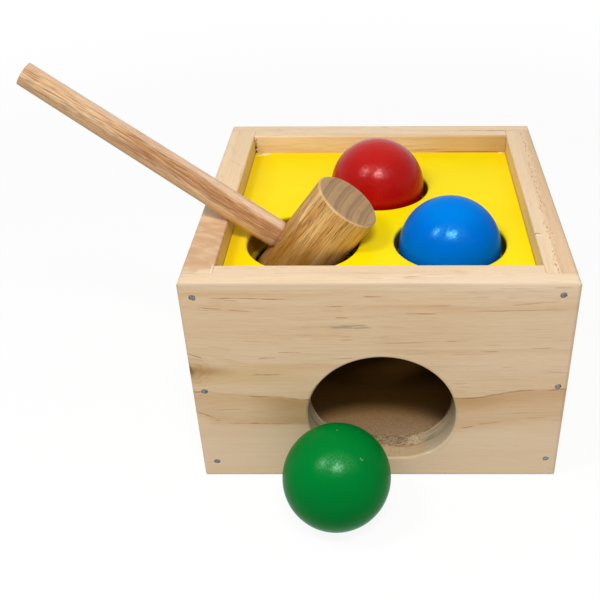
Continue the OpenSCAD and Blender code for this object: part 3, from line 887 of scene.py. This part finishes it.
def torn_wood(name, tones):
    s = Shader(name, tones[0], 0.2)
    cloud = s.noise((2.6, 0.9, 0.9), 95, 2)
    s.tint(cloud.rise(0.35, 0.7), tones[1])
    return s.finish(0.65 + cloud * 0.2, cloud, 0.06)


# Pieces

def add_object(name, data):
    obj = bpy.data.objects.new(name, data)
    bpy.context.scene.collection.objects.link(obj)
    return obj


def piece(name, mesh, body, slot, material, smooth=True):
    """A new piece from a bmesh in metres that rides on a body."""
    data = bpy.data.meshes.new(name)
    bmesh.ops.recalc_face_normals(mesh, faces=mesh.faces)
    mesh.to_mesh(data)
    mesh.free()
    for face in data.polygons:
        face.use_smooth = smooth
    obj = add_object(name, data)
    data.materials.append(material)
    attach(obj, body)
    return obj


def wear(node, material):
    """Gives a CAD node its finish."""
    data = nodes[node].data
    data.materials.clear()
    data.materials.append(material)


def middle(node):
    low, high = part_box(node)
    return (low + high) / 2


def join_rings(mesh, rings):
    """Faces between the rings of a tube, where a ring of one point closes it."""
    sides = max(len(ring) for ring in rings)
    for a, b in zip(rings, rings[1:]):
        for i in range(sides):
            j = i + 1
            quad = [a[i % len(a)], a[j % len(a)], b[j % len(b)], b[i % len(b)]]
            mesh.faces.new(list(dict.fromkeys(quad)))


BALL_WAVE = 0.06
BALL_WAVE_PITCH = 2.2
BALL_DETAIL = 6
# Where each ball's waviness starts in the noise
BALL_START = {"red": 1.3, "blue": 2.1, "green": 3.7}
# Chips in a ball's paint, each (direction, radius, depth), and the share of a chip's radius that is bare
BALL_CHIPS = {
    "green": (
        ((0.03, 0.2, 0.98), 0.65, 0.15),
        ((0.46, -0.36, 0.81), 0.6, 0.12),
        ((0.485, -0.372, 0.79), 0.6, 0.12),
    ),
}
CHIP_BARE = 0.8


def painted_ball(colour):
    """A turned ball with a trace of waviness and any chips under its paint."""
    node = "ball_" + colour
    centre = middle(node)
    radius = (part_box(node)[1].z - centre.z) / MM
    chips = BALL_CHIPS.get(colour, ())
    start = BALL_START[colour]
    shift = Vector((start, 2 * start, 3 * start))
    mesh = bmesh.new()
    bmesh.ops.create_icosphere(mesh, subdivisions=BALL_DETAIL, radius=1.0)
    for vertex in mesh.verts:
        out = vertex.co.normalized()
        wave = 0.5 + 0.5 * noise.noise(out * BALL_WAVE_PITCH + shift)
        size = radius - BALL_WAVE * wave
        for direction, reach, depth in chips:
            away = (out - Vector(direction).normalized()).length * radius
            if away < reach:
                size -= depth * (1 - (away / reach) ** 2)
        vertex.co = centre + out * size * MM
    bare = [(centre / MM + Vector(way).normalized() * radius, reach * CHIP_BARE) for way, reach, _ in chips]
    material = paint(colour, bare, **BALL_PAINT[colour])
    ball = piece("painted_ball_" + colour, mesh, colour + "_ball", colour + "_paint", material)
    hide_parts(node)


# A nail's outline from the middle of its head to its point, as (radius, depth)
NAIL_OUTLINE = (
    (0.0, 0.12), (0.5, 0.11), (0.95, 0.14), (1.28, 0.2), (1.46, 0.4), (1.44, 0.7), (1.2, 0.98), (0.9, 1.05),
    (0.89, 29.0), (0.55, 31.0), (0.0, 31.9),
)
NAIL_SIDES = 24
NAIL_APART = 8.0
# How far a hammered nail is out of round, how deep its face goes, and the dents in that face
NAIL_OVAL = 0.07
NAIL_LOBES = 0.035
NAIL_FACE = 0.5
NAIL_DENTS = 4
NAIL_DENT_R = 0.8
NAIL_DENT_DEPTH = 0.12


def nail_places(node):
    """The middles of a nail node's heads, as (x, z) in millimetres."""
    heads = []
    for vertex in nodes[node].data.vertices:
        point = (vertex.co.x / MM, vertex.co.z / MM)
        head = next((h for h in heads if math.dist(point, h[0]) < NAIL_APART), None)
        if head is None:
            head = []
            heads.append(head)
        head.append(point)
    return sorted(tuple((min(axis) + max(axis)) / 2 for axis in zip(*head)) for head in heads)


def nail_ring(radius, depth, phase, dents):
    """One ring of a hammered nail, as (across, up, depth) from the middle of its head."""
    ring = []
    for i in range(NAIL_SIDES if radius else 1):
        angle = 2 * math.pi * i / NAIL_SIDES
        oval = NAIL_OVAL * (1 + math.sin(2 * angle + phase))
        lobes = NAIL_LOBES * (1 + math.sin(5 * angle - phase))
        uneven = radius * (1 - oval - lobes)
        at = Vector((uneven * math.cos(angle), uneven * math.sin(angle)))
        sink = depth
        if depth < NAIL_FACE:
            for turn, reach in dents:
                spot = Vector((math.cos(turn), math.sin(turn))) * reach
                sink += NAIL_DENT_DEPTH * max(0.0, 1 - (at - spot).length / NAIL_DENT_R)
        ring.append((at.x, at.y, sink))
    return ring


def driven_nails(side, material):
    """Round-headed nails with hammered, uneven heads."""
    node = side + "_nails"
    low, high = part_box(node)
    face, inward = (low.y, 1) if side == "front" else (high.y, -1)
    draw = random.Random(node)
    mesh = bmesh.new()
    for x, z in nail_places(node):
        phase = draw.uniform(0, 2 * math.pi)
        dents = [(draw.uniform(0, 2 * math.pi), draw.uniform(0.2, 1.0)) for _ in range(NAIL_DENTS)]
        rings = []
        for radius, depth in NAIL_OUTLINE:
            rings.append([
                mesh.verts.new(((x + across) * MM, face + inward * sink * MM, (z + up) * MM))
                for across, up, sink in nail_ring(radius, depth, phase, dents)
            ])
        join_rings(mesh, rings)
    nails = piece("driven_nails_" + side, mesh, "box", "steel", material)
    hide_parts(node)


SLIVER_STEPS = 6
SLIVER_HEIGHT = 0.35
SLIVER_POINT = 0.01


def sliver(mesh, start, direction, lift, length, width, curl):
    """A thin pointed splinter with a three-sided section."""
    side = direction.cross(lift).normalized()
    rings = []
    for i in range(SLIVER_STEPS + 1):
        t = i / SLIVER_STEPS
        centre = start + direction * (length * t) + lift * (curl * t * t)
        half = width / 2 * (1 - t) ** 0.7 * (0.5 + 0.5 * min(1.0, 4 * t)) + SLIVER_POINT
        corners = (side * half, side * -half, lift * (SLIVER_HEIGHT * half))
        rings.append([mesh.verts.new((centre + corner) * MM) for corner in corners])
    join_rings(mesh, rings)
    mesh.faces.new(reversed(rings[0]))
    mesh.faces.new(rings[-1])


def foot_point(run, back, lift):
    """A place on the exit's foot, and the ways along the foot and out of the wood there. The place is run
    along the foot from its middle, back from its inner edge and lifted off it."""
    side = 1 if run >= 0 else -1
    turn = max(0.0, abs(run) - FOOT_HALF) / FOOT_R
    flat = min(abs(run), FOOT_HALF)
    x = EXIT_X + side * (flat + FOOT_R * math.sin(turn))
    z = SILL_Z + FOOT_R * (1 - math.cos(turn))
    along = Vector((math.cos(turn), 0, side * math.sin(turn)))
    out = Vector((-side * math.sin(turn), 0, math.cos(turn)))
    return Vector((x, INNER_FRONT_Y - back, z)) + out * lift, along, out


# How far from the inner edge of the exit's foot the torn fibres on it start, and the way to the front
TORN_START = 0.2
TORN_DEEP = 7.0
TO_FRONT = Vector((0, -1, 0))


def lying_fibre(mesh, draw):
    """A fibre that lies on the inner half of the foot."""
    run = draw.uniform(-18, 15)
    back = TORN_START + draw.random() * TORN_DEEP
    start, along, out = foot_point(run, back, draw.uniform(0.0, 0.2))
    heading = draw.choice((-1, 1))
    tilt = Vector((0, draw.uniform(-0.5, 0.5), 0))
    direction = (along * heading + tilt + out * draw.uniform(0.02, 0.25)).normalized()
    length = draw.uniform(1.0, 4.5)
    sliver(mesh, start, direction, out, length, draw.uniform(0.3, 1.0), draw.uniform(0.0, 0.7))


def hanging_fibre(mesh, draw):
    """A fibre that hangs over the inner edge of the foot."""
    run = draw.uniform(-18, 14)
    start, along, out = foot_point(run, draw.uniform(0.3, 1.6), draw.uniform(0.0, 0.15))
    direction = (along * draw.uniform(-0.9, 0.9) + Vector((0, draw.uniform(0.3, 1.0), 0))).normalized()
    sliver(mesh, start, direction, out, draw.uniform(1.0, 2.6), draw.uniform(0.4, 1.1), 0.1)


def fringe_fibre(mesh, draw):
    """A short fibre that stands out of the inner edge right of the foot."""
    start, along, out = foot_point(draw.uniform(14, 50), draw.uniform(0.0, 0.9), -0.05)
    aside = along * draw.uniform(-0.8, 0.8)
    tilt = Vector((0, draw.uniform(-0.6, 0.5), 0))
    direction = (out * 0.7 + aside + tilt).normalized()
    sliver(mesh, start, direction, TO_FRONT, draw.uniform(0.4, 1.4), draw.uniform(0.25, 0.6), 0.2)


# How many fibres of each kind the saw tore
FIBRES = ((lying_fibre, 160), (hanging_fibre, 70), (fringe_fibre, 150))


def exit_splinters(material):
    draw = random.Random(11)
    mesh = bmesh.new()
    for fibre, number in FIBRES:
        for _ in range(number):
            fibre(mesh, draw)
    piece("exit_splinters", mesh, "box", "pine", material, smooth=False)


# The flake along the exit's foot and from the wall's inner face, its height and its thickness
FLAKE_START = 12.0
FLAKE_WIDTH = 8.0
FLAKE_TAPER = 1.2
FLAKE_BACK = 7.4
FLAKE_LENGTH = 7.2
FLAKE_RISE = 1.1
FLAKE_THICK = 0.35
FLAKE_COLUMNS = 10
FLAKE_ROWS = 8


def flake_point(across, ahead, near, far, draw):
    """A place on the flake between its near and far ends, and the way out of the wood there."""
    taper = FLAKE_TAPER * ahead * (1 - 2 * across)
    run = FLAKE_START + FLAKE_WIDTH * across + taper + draw.uniform(-0.15, 0.15)
    arch = math.sin(math.pi * (0.15 + 0.7 * across))
    rise = 0.12 + FLAKE_RISE * ahead * ahead * arch + 0.15 * draw.random()
    at, _, out = foot_point(run, FLAKE_BACK - FLAKE_LENGTH * (near + (far - near) * ahead), rise)
    return at, out


def exit_flake(material):
    """A thin flake that stands half torn from the right corner of the exit's foot."""
    draw = random.Random(17)
    mesh = bmesh.new()
    columns, rows = FLAKE_COLUMNS, FLAKE_ROWS
    grid = []
    for i in range(columns + 1):
        far = 0.8 + draw.uniform(-0.22, 0.15)
        near = draw.uniform(0.0, 0.16)
        line = []
        for j in range(rows + 1):
            at, out = flake_point(i / columns, j / rows, near, far, draw)
            line.append((mesh.verts.new(at * MM), mesh.verts.new((at - out * FLAKE_THICK) * MM)))
        grid.append(line)
    for side in (0, 1):
        for a, b in zip(grid, grid[1:]):
            for j in range(rows):
                mesh.faces.new([corner[side] for corner in (a[j], b[j], b[j + 1], a[j + 1])])
    border = [line[0] for line in grid[:-1]] + grid[-1][:-1]
    border += [line[-1] for line in grid[:0:-1]] + grid[0][:0:-1]
    for a, b in zip(border, border[1:] + border[:1]):
        mesh.faces.new((a[0], b[0], b[1], a[1]))
    piece("exit_flake", mesh, "box", "pine", material)


# Paths of (x, y) that the dried glue follows on the ball board
GLUE_LEFT = ((-71.6, 66.4), (-70.6, 67.4), (-69.2, 68.2), (-67.6, 68.6), (-65.8, 68.9), (-63.6, 69.0))
GLUE_RIGHT = ((68.6, 70.4), (69.6, 70.2), (70.6, 70.5), (71.8, 70.3))
GLUE_SIDES = 7
GLUE_SINK = 0.02


def glue_trace(name, path, half, height, material, seed):
    """A low ridge of dried glue along a path on the ball board."""
    draw = random.Random(seed)
    mesh = bmesh.new()
    rings = []
    for i, (x, y) in enumerate(path):
        t = i / (len(path) - 1)
        swell = math.sin(math.pi * (0.08 + 0.84 * t)) * draw.uniform(0.6, 1.0)
        ahead = Vector(path[min(i + 1, len(path) - 1)]) - Vector(path[max(i - 1, 0)])
        across = Vector((-ahead.y, ahead.x)).normalized()
        ring = []
        for k in range(GLUE_SIDES):
            a = math.pi * k / (GLUE_SIDES - 1)
            off = across * (math.cos(a) * half * swell)
            up = BOARD_Z - GLUE_SINK + math.sin(a) * height * swell
            ring.append(mesh.verts.new(((x + off.x) * MM, (y + off.y) * MM, up * MM)))
        rings.append(ring)
    join_rings(mesh, rings)
    mesh.faces.new(rings[0])
    mesh.faces.new(reversed(rings[-1]))
    piece(name, mesh, "box", "yellow_paint", material)


# The whole object

BLOCKS = ("corner_block", "guide_block", "ramp_riser")


def dress_box(metal):
    """Gives the box's CAD nodes their finishes."""
    wear("front_panel", front_pine())
    wear("back_panel", back_pine())
    wear("left_panel", left_pine())
    wear("right_panel", right_pine())
    wear("top_board", board_paint())
    shared = (
        ([name for name in nodes if name.startswith(BLOCKS)], block_pine()),
        (("base_board", "ramp_board"), fibre_board()),
        (("seat_ring_red", "seat_ring_blue", "seat_ring_open"), rubber()),
        (("ring_tacks", "base_pins"), metal),
    )
    for names, material in shared:
        for name in names:
            wear(name, material)


def dress_hammer():
    """The head's grain runs along the hammer's lift, and the handle's from the head to its tip."""
    centre = middle("hammer_head")
    lift = next(joint for joint in frame["joints"] if joint["name"] == "hammer_lift")
    head_axis = Vector(lift["axis"]).normalized()
    points = [vertex.co for vertex in nodes["hammer_handle"].data.vertices]
    reach = max((p - centre).length for p in points)
    tip = [p for p in points if (p - centre).length > reach - MM]
    handle_axis = (sum(tip, Vector()) / len(tip) - centre).normalized()
    head_half = max((v.co - centre).dot(head_axis) for v in nodes["hammer_head"].data.vertices) / MM
    wear("hammer_head", head_wood(centre / MM, head_axis, handle_axis, head_half))
    wear("hammer_handle", handle_wood(centre / MM, handle_axis, head_axis, reach / MM))


def make_object():
    metal = steel()
    dress_box(metal)
    dress_hammer()
    for colour in BALL_PAINT:
        painted_ball(colour)
    for side in ("front", "back"):
        driven_nails(side, metal)
    exit_splinters(torn_wood("torn_wood", SPLINTER_TONES))
    exit_flake(torn_wood("flake_wood", FLAKE_TONES))
    glue = dried_glue()
    glue_trace("glue_trace_left", GLUE_LEFT, 1.0, 0.25, glue, 5)
    glue_trace("glue_trace_right", GLUE_RIGHT, 0.6, 0.3, glue, 6)


# Floor, light and camera, in metres and watts

FLOOR_HALF = 6.0
FLOOR_GREY = 0.45
FLOOR_WHITE = 1.0
FLOOR_LIFT = 0.9
FLOOR_NEAR = 0.3
FLOOR_FAR = 0.8
WORLD_LIGHT = 0.41
LAMP_TARGET = (0.0, -0.03, 0.07)
# Each lamp's name, place, width, height and power
LAMPS = (
    ("key", (0.045, -0.48, 0.76), 0.22, 0.10, 3.4),
    ("left", (-0.37, -0.27, 0.7), 0.09, 0.18, 1.5),
)


def seen_rays(s):
    """1 for the rays of the camera and of reflections and glass, and 0 for the rest."""
    rays = s.add("LightPath").outputs
    seen = Value(s, rays["Is Camera Ray"])
    for ray in ("Is Glossy Ray", "Is Transmission Ray"):
        seen = seen.do("MAXIMUM", rays[ray])
    return seen


def floor_white():
    """A matt floor, white by itself to the rays that are seen, but less near the object, for its shadow."""
    s = Shader("floor_white", surface="MixShader")
    seen = seen_rays(s)
    lift = s.distance((0, 0, 0)).rise(FLOOR_NEAR / MM, FLOOR_FAR / MM) * (1 - FLOOR_LIFT) + FLOOR_LIFT
    matt = s.add("BsdfDiffuse", seen * (FLOOR_WHITE - FLOOR_GREY) + FLOOR_GREY)
    white = s.add("Emission")
    for socket, value in zip(s.surface.inputs, (seen * lift, matt.outputs[0], white.outputs[0])):
        s.feed(socket, value)
    return s.material


def make_floor():
    mesh = bpy.data.meshes.new("floor")
    corners = [(x * FLOOR_HALF, y * FLOOR_HALF, 0.0) for x, y in ((-1, -1), (1, -1), (1, 1), (-1, 1))]
    mesh.from_pydata(corners, [], [(0, 1, 2, 3)])
    mesh.materials.append(floor_white())
    floor = add_object("floor", mesh)


def make_world():
    world = bpy.data.worlds.new("studio")
    bpy.context.scene.world = world
    world.use_nodes = True
    s = Nodes(world.node_tree)
    background = s.tree.nodes["Background"]
    background.inputs["Color"].default_value = (1, 1, 1, 1)
    s.feed(background.inputs["Strength"], seen_rays(s) * (1.0 - WORLD_LIGHT) + WORLD_LIGHT)


def make_lamp(name, place, width, height, watts):
    data = bpy.data.lights.new(name, "AREA")
    data.shape = "RECTANGLE"
    data.size = width
    data.size_y = height
    data.energy = watts
    lamp = add_object(name, data)
    lamp.location = place
    lamp.rotation_euler = (Vector(LAMP_TARGET) - Vector(place)).to_track_quat("-Z", "Y").to_euler()


def make_camera():
    data = bpy.data.cameras.new("camera")
    data.sensor_width = SENSOR
    data.lens = FOCAL_PX / IMAGE * SENSOR
    data.shift_x = (IMAGE / 2 - CENTRE_PX[0]) / IMAGE
    data.shift_y = (CENTRE_PX[1] - IMAGE / 2) / IMAGE
    data.clip_start = CLIP_START
    camera = add_object("camera", data)
    place = Matrix.Translation(EYE)
    for angle, axis in ((YAW, "Z"), (90 - PITCH, "X"), (ROLL, "Z")):
        place = place @ Matrix.Rotation(math.radians(angle), 4, axis)
    camera.matrix_world = place
    bpy.context.scene.camera = camera


make_object()
make_floor()
make_world()
for settings in LAMPS:
    make_lamp(*settings)
make_camera()
bpy.context.scene.view_settings.view_transform = "Standard"
